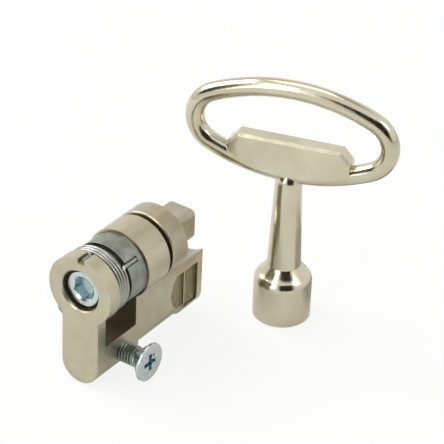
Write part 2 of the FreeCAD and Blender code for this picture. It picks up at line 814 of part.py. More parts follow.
def add_plate(body):
    """The plate inside the bow, with cut upper corners and a lower edge along the bow's centreline."""
    wide = s.plate_half_width
    middle = s.bow_centre + p.bow_drop
    low = middle - root(p.bow_crown * p.bow_crown - wide * wide)
    inner = wide - s.plate_cut_across
    cut_start = p.plate_top - s.plate_cut_down
    sketch = outline(
        sketch_on(body, "XZ_Plane", "plate_outline", 0),
        [
            (-wide, low),
            (wide, low, term(0), middle, 1),
            (wide, cut_start),
            (inner, p.plate_top),
            (-inner, p.plate_top),
            (-wide, cut_start),
        ],
    )
    plate = extrude("Pad", sketch, "plate", p.plate_thickness, both=True)
    face = number(p.plate_thickness) / 2
    lowest = number(cut_start) - 0.01

    def is_upper_edge(edge):
        flat = lies_at(edge, "Y", face) or lies_at(edge, "Y", -face)
        return flat and edge.BoundBox.ZMin > lowest

    chamfer(plate, "plate_edges", s.plate_chamfer, is_upper_edge)


# Return spring: one wire, bent from two straight legs and a coil


def ring_point(angle, along):
    """A point of the coil's centreline, at an angle round the lock's axis."""
    radius = number(s.coil_radius)
    turned = math.radians(angle)
    return FreeCAD.Vector(radius * math.cos(turned), along, radius * math.sin(turned))


def ring_tangent(angle, rise=0.0):
    """Direction of travel round the axis, with a rise along it."""
    turned = math.radians(angle)
    tangent = FreeCAD.Vector(-math.sin(turned), rise, math.cos(turned))
    return tangent.normalize()


def spring_stations():
    """Points of the centreline with their directions, from the front leg's tip to the rear leg's."""
    forward = FreeCAD.Vector(0, 1, 0)
    bend = number(s.leg_bend)
    first, last = number(p.coil_first), number(p.coil_last)
    front, turned = number(s.leg_front_angle), number(p.turned)
    sweep = math.degrees(math.atan2(bend, number(s.coil_radius)))
    rise = number(s.coil_pitch) / (2 * math.pi * number(s.coil_radius))

    bend_start = ring_point(front, first - bend)
    stations = [(ring_point(front, number(s.leg_inset)), forward), (bend_start, forward)]
    steps = math.ceil((turned - 2 * sweep) / 90)
    for i in range(steps + 1):
        angle = sweep + (turned - 2 * sweep) * i / steps
        along = first + (last - first) * i / steps
        stations.append((ring_point(front + angle, along), ring_tangent(front + angle, rise)))
    rear = front + turned
    tip = number(p.sleeve_front + s.rear_leg_length)
    stations += [(ring_point(rear, last + bend), forward), (ring_point(rear, tip), forward)]
    return stations


def biarc(start, start_direction, end, end_direction):
    """Two arcs that leave start and reach end in the given directions."""
    chord = end - start
    total = start_direction + end_direction
    spread = 2 * (1 - start_direction.dot(end_direction))
    pull = chord.dot(total)
    reach = (math.sqrt(pull * pull + spread * chord.dot(chord)) - pull) / spread
    first_corner = start + start_direction * reach
    second_corner = end - end_direction * reach
    middle = (first_corner + second_corner) * 0.5
    return [arc_by_corner(start, first_corner, middle), arc_by_corner(middle, second_corner, end)]


def arc_by_corner(start, corner, end):
    """The arc that touches both legs of a corner at their ends."""
    centre = (start + end) * 0.5
    half_chord = (end - start).Length / 2
    height = (corner - centre).Length
    sagitta = half_chord * math.tan(math.atan2(height, half_chord) / 2)
    return Part.Arc(start, centre + (corner - centre) * (sagitta / height), end)


def spring_wire():
    stations = spring_stations()
    pieces = []
    for i in range(len(stations) - 1):
        (start, leaving), (end, arriving) = stations[i], stations[i + 1]
        if i in (0, len(stations) - 2):
            pieces.append(Part.LineSegment(start, end))
        else:
            pieces += biarc(start, leaving, end, arriving)
    return Part.Wire([piece.toShape() for piece in pieces])


def least_gap(wire):
    """Least distance of the tube from itself, between points over one turn's bend apart."""
    step = 0.15
    points = wire.discretize(Distance=step)
    apart = int(4 * number(s.wire_diameter) / step)
    nearest = min(
        points[i].distanceToPoint(points[j])
        for i in range(len(points))
        for j in range(i + apart, len(points))
    )
    return nearest - number(s.wire_diameter)


def make_return_spring():
    wire = spring_wire()
    start = wire.OrderedVertexes[0].Point
    circle = Part.Wire(Part.makeCircle(number(p.wire), start, FreeCAD.Vector(0, 1, 0)))
    tube = wire.makePipeShell([circle], True, False)
    spring = doc.addObject("Part::Feature", "return_spring")
    spring.Label = "return_spring"
    spring.Shape = tube
    spring.Placement = FreeCAD.Placement()
    expected = math.pi * number(p.wire) ** 2 * wire.Length
    print("return_spring: volume over section times length %.4f" % (tube.Volume / expected))
    print("return_spring: least gap to itself %.3f mm" % least_gap(wire))
    return spring


# Checks and files


CUTS = ("Pocket", "SubtractiveLoft", "Chamfer", "Fillet", "Mirrored")


def check_features():
    """Every object is sound, and every pocket takes material away."""
    for item in doc.Objects:
        if "Invalid" in item.State or "Error" in item.State:
            raise RuntimeError("%s failed: %s" % (item.Name, item.State))
        if item.isDerivedFrom("Sketcher::SketchObject") and item.solve() != 0:
            raise RuntimeError("sketch %s isn't solved" % item.Name)
        base = getattr(item, "BaseFeature", None)
        if base is None or item.TypeId == "PartDesign::Body":
            continue
        change = item.Shape.Volume - base.Shape.Volume
        cuts = item.TypeId.split("::")[1] in CUTS
        if (change >= 0) if cuts else (change <= 0):
            raise RuntimeError("%s changes the volume by %.3f" % (item.Name, change))


def write_parts(parts):
    os.makedirs("parts", exist_ok=True)
    for item in parts:
        shape = item.Shape
        if shape.isNull() or not shape.isValid() or len(shape.Solids) != 1:
            raise RuntimeError("%s isn't one sound solid" % item.Label)
    for item in parts:
        item.Shape.exportStep("parts/%s.step" % item.Label)
        box = item.Shape.BoundBox
        print(
            "%-14s %8.1f mm3  x %.2f..%.2f  y %.2f..%.2f  z %.2f..%.2f"
            % (item.Label, item.Shape.Volume, box.XMin, box.XMax, box.YMin, box.YMax, box.ZMin, box.ZMax)
        )


doc = FreeCAD.newDocument("cabinet_lock")
s = Sizes(doc, SIZES)
doc.recompute()
p = Places(s)

lock_parts = [
    make_cylinder_body(),
    make_drive_insert(),
    make_cam(),
    make_return_spring(),
    make_cap_screw(),
    make_lock_washer(),
    make_fixing_screw(),
    make_key(),
]
doc.recompute()
check_features()
write_parts(lock_parts)
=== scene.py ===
from math import atan2, cos, pi, radians, sin

import bmesh
import bpy
from mathutils import Matrix, Vector


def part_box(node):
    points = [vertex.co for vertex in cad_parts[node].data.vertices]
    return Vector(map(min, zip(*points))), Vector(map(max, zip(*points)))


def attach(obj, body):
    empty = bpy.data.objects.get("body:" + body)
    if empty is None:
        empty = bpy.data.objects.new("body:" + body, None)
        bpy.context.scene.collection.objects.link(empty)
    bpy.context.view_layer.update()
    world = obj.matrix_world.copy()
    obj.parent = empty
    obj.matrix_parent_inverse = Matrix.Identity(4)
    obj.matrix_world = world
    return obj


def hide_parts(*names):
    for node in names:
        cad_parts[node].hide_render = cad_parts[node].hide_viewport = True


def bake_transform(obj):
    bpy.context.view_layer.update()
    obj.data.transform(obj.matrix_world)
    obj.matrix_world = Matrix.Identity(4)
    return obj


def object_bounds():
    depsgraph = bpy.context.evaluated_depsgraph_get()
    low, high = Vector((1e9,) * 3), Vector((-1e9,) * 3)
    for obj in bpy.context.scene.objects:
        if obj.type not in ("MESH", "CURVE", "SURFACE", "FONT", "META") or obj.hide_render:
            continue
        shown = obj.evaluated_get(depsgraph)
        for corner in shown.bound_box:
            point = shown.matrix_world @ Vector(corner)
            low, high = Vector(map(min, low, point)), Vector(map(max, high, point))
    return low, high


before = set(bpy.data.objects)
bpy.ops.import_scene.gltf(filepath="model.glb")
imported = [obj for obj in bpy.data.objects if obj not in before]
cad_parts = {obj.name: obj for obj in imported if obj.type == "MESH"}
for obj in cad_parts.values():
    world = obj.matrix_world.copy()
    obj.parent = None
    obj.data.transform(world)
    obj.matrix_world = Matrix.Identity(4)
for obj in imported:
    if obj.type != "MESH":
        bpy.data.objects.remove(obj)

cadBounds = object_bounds()
mm = 0.001
touching = 1e-7    # metres, corners nearer to each other than this are one
origin = Vector((0, 0, 0))
axisX, axisY, axisZ = Vector((1, 0, 0)), Vector((0, 1, 0)), Vector((0, 0, 1))
scene = bpy.context.scene


def linear(hexColour):
    # sRGB hex to the linear colour that shaders use
    parts = [int(hexColour[i:i + 2], 16) / 255 for i in (1, 3, 5)]
    return [v / 12.92 if v <= 0.04045 else ((v + 0.055) / 1.055) ** 2.4 for v in parts] + [1.0]


def grey(value):
    return [value, value, value, 1.0]


def perMm(size):
    # scale of a noise whose spots are about size millimetres wide
    return 1 / (size * mm)


def addNode(tree, kind, settings=None, links=None):
    # one node: settings go to its properties or sockets, links feed its sockets
    node = tree.nodes.new(kind)
    for key, value in (settings or {}).items():
        if isinstance(key, str) and hasattr(node, key):
            setattr(node, key, value)
        else:
            node.inputs[key].default_value = value
    for key, source in (links or {}).items():
        tree.links.new(source, node.inputs[key])
    return node


def newMaterial(name):
    material = bpy.data.materials.new(name)
    material.use_nodes = True
    tree = material.node_tree
    tree.nodes.clear()
    return material, tree


def setRamp(node, positions, colours):
    ramp = node.color_ramp
    while len(ramp.elements) < len(positions):
        ramp.elements.new(0.5)
    for element, position, colour in zip(ramp.elements, positions, colours):
        element.position = position
        element.color = colour
    return node.outputs["Color"]


# materials

tintStops = (0.35, 0.65)    # places on a noise where one tint ends and the next is reached
wideStops = (0.3, 0.7)
driftStops = (0.3, 0.5, 0.7)

castNickel = {
    "light": "#C3BCA5", "dark": "#BBB39B",    # champagne tint of nickel over copper
    "blotch": 5.0,           # mm, slow change of tint in the plating
    "grit": 0.16,            # mm, grain left by tumbling; drawn about twice its real size to show
    "gritHeight": 0.012,     # mm
    "gritStrength": 0.35,
    "wave": 1.6,             # mm, soft unevenness of a casting's faces
    "waveHeight": 0.05,      # mm
    "waveStrength": 0.25,
    "roughness": (0.30, 0.42),
}
# pockets and grooves: a darker, browner and rougher copy of the nickel, which paints the shade in them
shadeInRecessNickel = dict(castNickel, light="#9C927A", dark="#8E846B", blotch=3.0, grit=0.2, gritHeight=0.02,
                    roughness=(0.42, 0.55))
# darker still in the collar groove: painted shade
shadeInGrooveNickel = dict(shadeInRecessNickel, light="#766A50", dark="#5F543C")
# a darker copy of the body's nickel, which paints shade on the insert
shadedInsertNickel = dict(castNickel, light="#BBB39E", dark="#B1A893")


def satinNickelCasting(name, settings):
    # nickel-plated zinc die casting, tumbled: warm satin sheen, highlights spread wide
    material, tree = newMaterial(name)
    place = addNode(tree, "ShaderNodeTexCoord").outputs["Object"]
    blotch = addNode(tree, "ShaderNodeTexNoise",
                     {"Scale": perMm(settings["blotch"]), "Detail": 3.0}, {"Vector": place})
    tint = setRamp(addNode(tree, "ShaderNodeValToRGB", links={"Fac": blotch.outputs["Fac"]}),
                   tintStops, [linear(settings["dark"]), linear(settings["light"])])
    grit = addNode(tree, "ShaderNodeTexNoise",
                   {"Scale": perMm(settings["grit"]), "Detail": 2.0}, {"Vector": place})
    wave = addNode(tree, "ShaderNodeTexNoise",
                   {"Scale": perMm(settings["wave"]), "Detail": 1.0}, {"Vector": place})
    low, high = settings["roughness"]
    gloss = setRamp(addNode(tree, "ShaderNodeValToRGB", links={"Fac": blotch.outputs["Fac"]}),
                    wideStops, [grey(high), grey(low)])
    soft = addNode(tree, "ShaderNodeBump",
                   {"Strength": settings["waveStrength"], "Distance": settings["waveHeight"] * mm},
                   {"Height": wave.outputs["Fac"]})
    bump = addNode(tree, "ShaderNodeBump",
                   {"Strength": settings["gritStrength"], "Distance": settings["gritHeight"] * mm},
                   {"Height": grit.outputs["Fac"], "Normal": soft.outputs["Normal"]})
    shader = addNode(tree, "ShaderNodeBsdfPrincipled", {"Metallic": 1.0},
                     {"Base Color": tint, "Roughness": gloss, "Normal": bump.outputs["Normal"]})
    addNode(tree, "ShaderNodeOutputMaterial", links={"Surface": shader.outputs["BSDF"]})
    return material


brightNickel = {
    "light": "#D2CBB5", "dark": "#C7BFA7",
    "blotch": 8.0,           # mm, slow change of tint
    "ripple": 2.4,           # mm, a polished casting's soft waviness
    "rippleHeight": 0.06,    # mm
    "rippleStrength": 0.3,
    "roughness": (0.13, 0.22),
}


def polishedNickelCasting(name, settings):
    # the same plating over a polished casting: near-mirror, a little wavy
    material, tree = newMaterial(name)
    place = addNode(tree, "ShaderNodeTexCoord").outputs["Object"]
    blotch = addNode(tree, "ShaderNodeTexNoise",
                     {"Scale": perMm(settings["blotch"]), "Detail": 3.0}, {"Vector": place})
    tint = setRamp(addNode(tree, "ShaderNodeValToRGB", links={"Fac": blotch.outputs["Fac"]}),
                   tintStops, [linear(settings["dark"]), linear(settings["light"])])
    ripple = addNode(tree, "ShaderNodeTexNoise",
                     {"Scale": perMm(settings["ripple"]), "Detail": 2.0}, {"Vector": place})
    low, high = settings["roughness"]
    gloss = setRamp(addNode(tree, "ShaderNodeValToRGB", links={"Fac": ripple.outputs["Fac"]}),
                    wideStops, [grey(high), grey(low)])
    bump = addNode(tree, "ShaderNodeBump",
                   {"Strength": settings["rippleStrength"], "Distance": settings["rippleHeight"] * mm},
                   {"Height": ripple.outputs["Fac"]})
    shader = addNode(tree, "ShaderNodeBsdfPrincipled", {"Metallic": 1.0},
                     {"Base Color": tint, "Roughness": gloss, "Normal": bump.outputs["Normal"]})
    addNode(tree, "ShaderNodeOutputMaterial", links={"Surface": shader.outputs["BSDF"]})
    return material


turnedZinc = {
    "light": "#9A9C94", "dark": "#84877E",
    "blotch": 2.5,           # mm, slow change of tint
    "ring": 1.3823,          # mm between the faint rings left by turning; drawn far coarser than real to show
    "ringHeight": 0.006,     # mm
    "ringStrength": 0.5,
    "stray": 1.5,            # how unevenly the rings run
    "roughness": 0.36,
    "stretch": 0.4,          # how far the rings stretch a highlight
}


def turnedZincCasting(name, settings):
    # bare zinc casting with a turned sleeve: grey, with faint rings round the axis
    material, tree = newMaterial(name)
    place = addNode(tree, "ShaderNodeTexCoord").outputs["Object"]
    blotch = addNode(tree, "ShaderNodeTexNoise",
                     {"Scale": perMm(settings["blotch"]), "Detail": 4.0}, {"Vector": place})
    tint = setRamp(addNode(tree, "ShaderNodeValToRGB", links={"Fac": blotch.outputs["Fac"]}),
                   tintStops, [linear(settings["dark"]), linear(settings["light"])])
    # at a scale of 1 the waves lie pi / 10 apart
    rings = addNode(tree, "ShaderNodeTexWave",
                    {"bands_direction": "Y", "Scale": pi / 10 * perMm(settings["ring"]),
                     "Distortion": settings["stray"], "Detail": 2.0}, {"Vector": place})
    bump = addNode(tree, "ShaderNodeBump",
                   {"Strength": settings["ringStrength"], "Distance": settings["ringHeight"] * mm},
                   {"Height": rings.outputs["Fac"]})
    shader = addNode(tree, "ShaderNodeBsdfPrincipled",
                     {"Metallic": 1.0, "Roughness": settings["roughness"],
                      "Anisotropic": settings["stretch"]},
                     {"Base Color": tint, "Normal": bump.outputs["Normal"]})
    addNode(tree, "ShaderNodeOutputMaterial", links={"Surface": shader.outputs["BSDF"]})
    return material


springWire = {
    "light": "#AEAFA9", "dark": "#90928B",
    "mark": 0.12,            # mm, fine marks left by the die
    "markHeight": 0.01,      # mm
    "markStrength": 0.2,
    "roughness": 0.31,
}


def drawnSpringSteel(name, settings):
    # drawn music wire, bright: silver grey, faintly marked by the die
    material, tree = newMaterial(name)
    place = addNode(tree, "ShaderNodeTexCoord").outputs["Object"]
    marks = addNode(tree, "ShaderNodeTexNoise",
                    {"Scale": perMm(settings["mark"]), "Detail": 2.0}, {"Vector": place})
    tint = setRamp(addNode(tree, "ShaderNodeValToRGB", links={"Fac": marks.outputs["Fac"]}),
                   wideStops, [linear(settings["dark"]), linear(settings["light"])])
    bump = addNode(tree, "ShaderNodeBump",
                   {"Strength": settings["markStrength"], "Distance": settings["markHeight"] * mm},
                   {"Height": marks.outputs["Fac"]})
    shader = addNode(tree, "ShaderNodeBsdfPrincipled",
                     {"Metallic": 1.0, "Roughness": settings["roughness"]},
                     {"Base Color": tint, "Normal": bump.outputs["Normal"]})
    addNode(tree, "ShaderNodeOutputMaterial", links={"Surface": shader.outputs["BSDF"]})
    return material


bluePassivate = {
    "pale": "#CAD5D0", "blue": "#B3C6C9", "violet": "#C2C0CA",
    "drift": 2.2,            # mm, drift of the passivation's colour
    "crystal": 0.2,          # mm, grain of the zinc; drawn coarser than real to show
    "crystalHeight": 0.006,  # mm
    "crystalStrength": 0.15,
    "roughness": (0.16, 0.30),
}
# the film dries thicker in a recess and turns the zinc blue-green
pooledPassivate = dict(bluePassivate, pale="#A3C6C6", blue="#86B0B8", violet="#B0BECB", drift=1.4,
                       roughness=(0.14, 0.24))
# the pressed bottom of the hexagon: rougher, and near white, which paints light on it
litFloorPassivate = dict(bluePassivate, pale="#F8FCFC", blue="#F2FAFB", violet="#F7F8FC", drift=1.4,
                      roughness=(0.78, 0.88))
# thread roots and the punched mark: a darker copy of the zinc, which paints shade in them; also rougher
shadeRootPassivate = dict(bluePassivate, pale="#949D94", blue="#828C85", violet="#9B9F98", drift=1.8,
                     roughness=(0.34, 0.44))


def bluePassivatedZinc(name, settings):
    # zinc electroplate with blue passivation: pale, cool, a trace of rainbow
    material, tree = newMaterial(name)
    place = addNode(tree, "ShaderNodeTexCoord").outputs["Object"]
    drift = addNode(tree, "ShaderNodeTexNoise",
                    {"Scale": perMm(settings["drift"]), "Detail": 2.0}, {"Vector": place})
    tint = setRamp(addNode(tree, "ShaderNodeValToRGB", links={"Fac": drift.outputs["Fac"]}),
                   driftStops, [linear(settings[key]) for key in ("blue", "pale", "violet")])
    crystal = addNode(tree, "ShaderNodeTexNoise",
                      {"Scale": perMm(settings["crystal"]), "Detail": 2.0}, {"Vector": place})
    low, high = settings["roughness"]
    gloss = setRamp(addNode(tree, "ShaderNodeValToRGB", links={"Fac": crystal.outputs["Fac"]}),
                    wideStops, [grey(low), grey(high)])
    bump = addNode(tree, "ShaderNodeBump",
                   {"Strength": settings["crystalStrength"], "Distance": settings["crystalHeight"] * mm},
                   {"Height": crystal.outputs["Fac"]})
    shader = addNode(tree, "ShaderNodeBsdfPrincipled", {"Metallic": 1.0},
                     {"Base Color": tint, "Roughness": gloss, "Normal": bump.outputs["Normal"]})
    addNode(tree, "ShaderNodeOutputMaterial", links={"Surface": shader.outputs["BSDF"]})
    return material


satinNickel = satinNickelCasting("satin_nickel_on_zinc_casting", castNickel)
# paints shade on the insert
shadedInsertSatin = satinNickelCasting("satin_nickel_with_painted_shade_on_insert", shadedInsertNickel)
# paints shade in the body's pockets and cam gap
recessShade = satinNickelCasting("nickel_with_painted_shade_in_recesses", shadeInRecessNickel)
# paints shade in the collar groove
grooveShade = satinNickelCasting("nickel_with_painted_shade_in_groove", shadeInGrooveNickel)
polishedNickel = polishedNickelCasting("polished_nickel_on_zinc_casting", brightNickel)
zincCasting = turnedZincCasting("turned_zinc_casting", turnedZinc)
springSteel = drawnSpringSteel("drawn_spring_steel", springWire)
blueZinc = bluePassivatedZinc("blue_passivated_zinc_plate", bluePassivate)
deepZinc = bluePassivatedZinc("blue_passivated_zinc_recess", pooledPassivate)
# paints light on the hexagon's floor
litFloorZinc = bluePassivatedZinc("blue_passivated_zinc_floor_painted_light", litFloorPassivate)
# paints shade in the thread roots and the punched mark
rootShadeZinc = bluePassivatedZinc("blue_passivated_zinc_thread_root_painted_shade", shadeRootPassivate)
print("materials made")


# helpers for pieces

nodeRepair = {
    "merge": 0.002,          # mm between corners of the CAD node's triangles that become one
    "flat": 0.4,             # degrees, triangles that turn less than this become one face
}
edgeRound = {
    "angle": 32,             # degrees, edges that turn more than this are rounded
    "segments": 2,
}


def newPiece(bm, name, materials, sharp=35):
    # writes a bmesh to a new object at the origin; edges that turn more than sharp degrees stay sharp
    bmesh.ops.remove_doubles(bm, verts=bm.verts, dist=touching)
    mesh = bpy.data.meshes.new(name)
    bm.to_mesh(mesh)
    bm.free()
    for material in materials:
        mesh.materials.append(material)
    mesh.shade_smooth()
    mesh.set_sharp_from_angle(angle=radians(sharp))
    piece = bpy.data.objects.new(name, mesh)
    scene.collection.objects.link(piece)
    return piece


def finishPiece(bm, name, materials, body, node, sharp=35):
    # hangs a new piece on its body, in place of its CAD node
    piece = newPiece(bm, name, materials, sharp)
    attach(piece, body)
    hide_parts(node)
    return piece


def nodeMesh(node):
    # the node's triangles, merged, with its flat faces made whole again
    bm = bmesh.new()
    bm.from_mesh(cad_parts[node].data)
    bmesh.ops.remove_doubles(bm, verts=bm.verts, dist=nodeRepair["merge"] * mm)
    bmesh.ops.dissolve_limit(bm, angle_limit=radians(nodeRepair["flat"]), verts=bm.verts, edges=bm.edges)
    bmesh.ops.recalc_face_normals(bm, faces=bm.faces)
    return bm


def softenEdges(piece, width):
    # the small round that plating and tumbling leave on every edge
    bevel = piece.modifiers.new("edge_round", "BEVEL")
    bevel.width = width * mm
    bevel.segments = edgeRound["segments"]
    bevel.limit_method = "ANGLE"
    bevel.angle_limit = radians(edgeRound["angle"])
    bevel.harden_normals = True
    bevel.use_clamp_overlap = True
    bevel.material = 0


def pick(items, kind):
    # those of an operator's results that are of one kind
    return [item for item in items if isinstance(item, kind)]


def once(items):
    # each item once and in the order given, so that every run makes the same mesh
    return list(dict.fromkeys(items))


def ringAt(bm, centre, normal, radius, sides):
    # a ring of edges round centre
    turn = normal.to_track_quat("Z", "Y").to_matrix().to_4x4()
    made = bmesh.ops.create_circle(bm, segments=sides, radius=radius,
                                   matrix=Matrix.Translation(centre) @ turn)
    return once(edge for vert in made["verts"] for edge in vert.link_edges)


def carry(bm, edges, centre, axis, angle, steps, advance=origin):
    # spins the ring of edges, moves it by advance on the way and returns the ring at the far end
    made = bmesh.ops.spin(bm, geom=edges, cent=centre, axis=axis, dvec=advance / steps, angle=angle,
                          steps=steps, use_merge=False, use_duplicate=False)
    return pick(made["geom_last"], bmesh.types.BMEdge)


def pull(bm, edges, offset):
    # extrudes the ring of edges straight and returns the far ring
    made = bmesh.ops.extrude_edge_only(bm, edges=edges)
    moved = pick(made["geom"], bmesh.types.BMVert)
    bmesh.ops.translate(bm, vec=offset, verts=moved)
    return [edge for edge in pick(made["geom"], bmesh.types.BMEdge)
            if all(vert in moved for vert in edge.verts)]


def lathe(outline, sides):
    # spins an open outline of (height, radius) points fully round Z
    bm = bmesh.new()
    verts = [bm.verts.new(axisZ * height + axisX * radius) for height, radius in outline]
    edges = [bm.edges.new(pair) for pair in zip(verts, verts[1:])]
    bmesh.ops.spin(bm, geom=verts + edges, cent=origin, axis=axisZ, angle=2 * pi, steps=sides,
                   use_merge=True, use_duplicate=False)
    bmesh.ops.remove_doubles(bm, verts=bm.verts, dist=touching)
    bmesh.ops.recalc_face_normals(bm, faces=bm.faces)
    return bm


def cutAway(bm, cutter):
    # takes the cutter's shape out of the piece and returns the piece
    pair = []
    for shape in (bm, cutter):
        mesh = bpy.data.meshes.new("cut")
        shape.to_mesh(mesh)
        shape.free()
        pair.append(bpy.data.objects.new("cut", mesh))
        scene.collection.objects.link(pair[-1])
    tool = pair[0].modifiers.new("cut", "BOOLEAN")
    tool.operation = "DIFFERENCE"
    tool.solver = "EXACT"
    tool.object = pair[1]
    tool.use_self = True
    left = bmesh.new()
    left.from_object(pair[0], bpy.context.evaluated_depsgraph_get())
    for thing in pair:
        bpy.data.objects.remove(thing)
    return left


# castings: the nodes' own shapes, with rounded edges and painted shade in the recesses

bodyCasting = {
    "round": 0.22,                   # mm, round of its edges
    "pocketAlong": (27, 38.3),       # mm from the cam-side face, where the stem's side pockets lie
    "pocketHeight": (-20.1, -9.6),   # mm from the turning axis
    "gapAlong": (2.9, 14.5),         # mm, where the cam's gap lies
    "gapHeight": (-14.6, -6.5),
    "stemSide": 4.97,                # mm, just inside the stem's side faces
}
insertCasting = {
    "round": 0.11,
    "grooveAlong": (22.0, 23.7),     # mm, where the collar groove lies
    "grooveRadius": 7.2,             # mm, just outside the bottom of the groove
}
camCasting = {"round": 0.12}


def within(value, limits):
    return limits[0] < value < limits[1]


def inBodyRecess(middle):
    pocket = within(middle.y, bodyCasting["pocketAlong"]) and within(middle.z, bodyCasting["pocketHeight"])
    gap = within(middle.y, bodyCasting["gapAlong"]) and within(middle.z, bodyCasting["gapHeight"])
    return (pocket or gap) and abs(middle.x) < bodyCasting["stemSide"]


def inInsertGroove(middle):
    return within(middle.y, insertCasting["grooveAlong"]) and middle.xz.length < insertCasting["grooveRadius"]


def shadeRecessFaces(bm, recessed):
    # faces that lie in a recess by their middle, in millimetres, take the second material, which paints shade
    # there
    for face in bm.faces:
        if recessed(face.calc_center_median() / mm):
            face.material_index = 1
    return bm


cylinderBody = finishPiece(shadeRecessFaces(nodeMesh("cylinder_body"), inBodyRecess), "cylinder_body_casting",
                           [satinNickel, recessShade], "lock_body", "cylinder_body")
softenEdges(cylinderBody, bodyCasting["round"])
driveInsert = finishPiece(shadeRecessFaces(nodeMesh("drive_insert"), inInsertGroove), "drive_insert_casting",
                          [shadedInsertSatin, grooveShade], "plug", "drive_insert")
softenEdges(driveInsert, insertCasting["round"])
cam = finishPiece(nodeMesh("cam"), "cam_casting", [zincCasting], "plug", "cam")
softenEdges(cam, camCasting["round"])

keyCasting = {
    "round": 0.25,           # mm, round of its edges
    "sharp": 25,             # degrees, edges that turn more than this stay sharp
    "turn": 16.8,            # degrees, the bow's direction round the key's axis
    "halfThickness": 2.15,   # mm, of the plate
    "core": 1.5,             # mm from the plate's middle, nothing nearer to it moves
    "sideways": 0.99,        # least part across the bow of the normals of the plate's faces
    "leastFace": 100,        # square mm; of the faces that look that way only the plate's two have more
    "flat": 11.94,           # mm from the axis to where the plate's ends start to draw in
    "end": 14.5,             # mm from the axis to the plate's ends
    "foot": 17.4,            # mm, height where the plate's faces leave the bow
    "top": 22.0,             # mm, height of the plate's faces
    "above": 1.2,            # share of the way from foot to top up to which corners move
    "drawn": 0.35,           # mm that the faces draw in at the top of the ends
    "spare": 0.01,           # by which a corner may pass a limit and still count
}


def drawPlateEnds(bm):
    # both ends of the plate taper towards the bow, with an upright edge where the taper starts
    low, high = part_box("key")
    centre = (low + high) / 2
    turn = radians(keyCasting["turn"])
    along, across = Vector((cos(turn), sin(turn), 0)), Vector((-sin(turn), cos(turn), 0))
    faces = [face for face in bm.faces if abs(face.normal.dot(across)) > keyCasting["sideways"]
             and face.calc_area() > keyCasting["leastFace"] * mm * mm]
    parts = faces + once(edge for face in faces for edge in face.edges)
    parts += once(vert for face in faces for vert in face.verts)
    for side in (-1, 1):
        start = centre + along * side * keyCasting["flat"] * mm
        parts = bmesh.ops.bisect_plane(bm, geom=parts, dist=touching, plane_co=start, plane_no=along)["geom"]
    reach, rise = keyCasting["end"] - keyCasting["flat"], keyCasting["top"] - keyCasting["foot"]
    spare = keyCasting["spare"]
    for vert in bm.verts:
        spot = (vert.co - centre) / mm
        beyond = (abs(spot.dot(along)) - keyCasting["flat"]) / reach
        depth = spot.dot(across)
        height = (vert.co.z / mm - keyCasting["foot"]) / rise
        atEnd = spare < beyond < 1 + spare and 0 < height < keyCasting["above"]
        if atEnd and keyCasting["core"] < abs(depth) < keyCasting["halfThickness"] + spare:
            inward = keyCasting["drawn"] * min(beyond, 1) * min(height, 1)
            vert.co -= across * (inward * mm if depth > 0 else -inward * mm)
    return bm


socketKey = finishPiece(drawPlateEnds(nodeMesh("key")), "key_casting", [polishedNickel], "key",
                        "key", keyCasting["sharp"])
softenEdges(socketKey, keyCasting["round"])
print("castings made")


# return spring: close turns round the cam's hub, one leg in the body and one in the cam

spring = {
    "wire": 0.425,           # mm, radius of the wire
    "coil": 7.8,             # mm, mean radius of the turns
    "start": 3.95,           # mm from the cam-side face to the first turn
    "pitch": 0.87,           # mm, so the turns all but touch
    "turns": 4,              # less the angle between the legs
    "frontAngle": 88.0,      # degrees round the axis, where the front leg lies
    "rearAngle": 38.0,
    "legBend": 0.9,          # mm, radius of the bend from a leg to the turns
    "bendSteps": 8,
    "sides": 16,
    "stepsPerTurn": 72,
}


def outward(angle):
    return Vector((cos(angle), 0, sin(angle)))


def makeReturnSpring():
    low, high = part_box("return_spring")
    wire, radius, bend = spring["wire"] * mm, spring["coil"] * mm, spring["legBend"] * mm
    sweep = atan2(bend, radius)
    first = radians(spring["frontAngle"]) + sweep
    last = radians(spring["rearAngle"]) + 2 * pi * spring["turns"] - sweep
    climb = spring["pitch"] * mm * (last - first) / (2 * pi)
    coilStart = spring["start"] * mm
    coilEnd = coilStart + climb
    steps = int(spring["stepsPerTurn"] * (last - first) / (2 * pi))

    bm = bmesh.new()
    leg = outward(first) * radius - outward(first).cross(axisY) * bend
    ring = ringAt(bm, leg + axisY * low.y, axisY, wire, spring["sides"])
    bmesh.ops.edgeloop_fill(bm, edges=ring)
    ring = pull(bm, ring, axisY * (coilStart - bend - low.y))
    ring = carry(bm, ring, outward(first) * radius + axisY * (coilStart - bend), outward(first), pi / 2,
                 spring["bendSteps"])
    ring = carry(bm, ring, origin, axisY, first - last, steps, axisY * climb)
    ring = carry(bm, ring, outward(last) * radius + axisY * (coilEnd + bend), outward(last), -pi / 2,
                 spring["bendSteps"])
    ring = pull(bm, ring, axisY * (high.y - coilEnd - bend))
    bmesh.ops.edgeloop_fill(bm, edges=ring)
    bmesh.ops.recalc_face_normals(bm, faces=bm.faces)
    piece = newPiece(bm, "return_spring_wire", [springSteel])
    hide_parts("return_spring")
    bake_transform(piece)


makeReturnSpring()
print("return spring wound")


# screws, each made with its tip at the origin and its head up, then laid in its place

headSides = 96
screwSharp = 30              # degrees, edges that turn more than this stay sharp
screwFinishes = [blueZinc, deepZinc, litFloorZinc, rootShadeZinc]
# the third finish paints light on the hexagon's floor, the fourth paints shade in the thread roots and the
# mark
wallFinish, litFloorFinish, rootShadeFinish = 1, 2, 3    # their places in that list
thread = {
    # (share of the pitch, share of the depth): root, flank, crest, flank, root
    "profile": [(0, 1), (0.12, 1), (0.38, 0), (0.62, 0), (0.88, 1), (1, 1)],
    "sides": 56,
    "spareTurns": 3,         # cut off again at both ends
    "point": 1.2,            # depths by which the tip is turned down
    "root": 0.45,            # share of the depth below which a face counts as root
}
upright = 0.9                # least upward part of a floor's normal


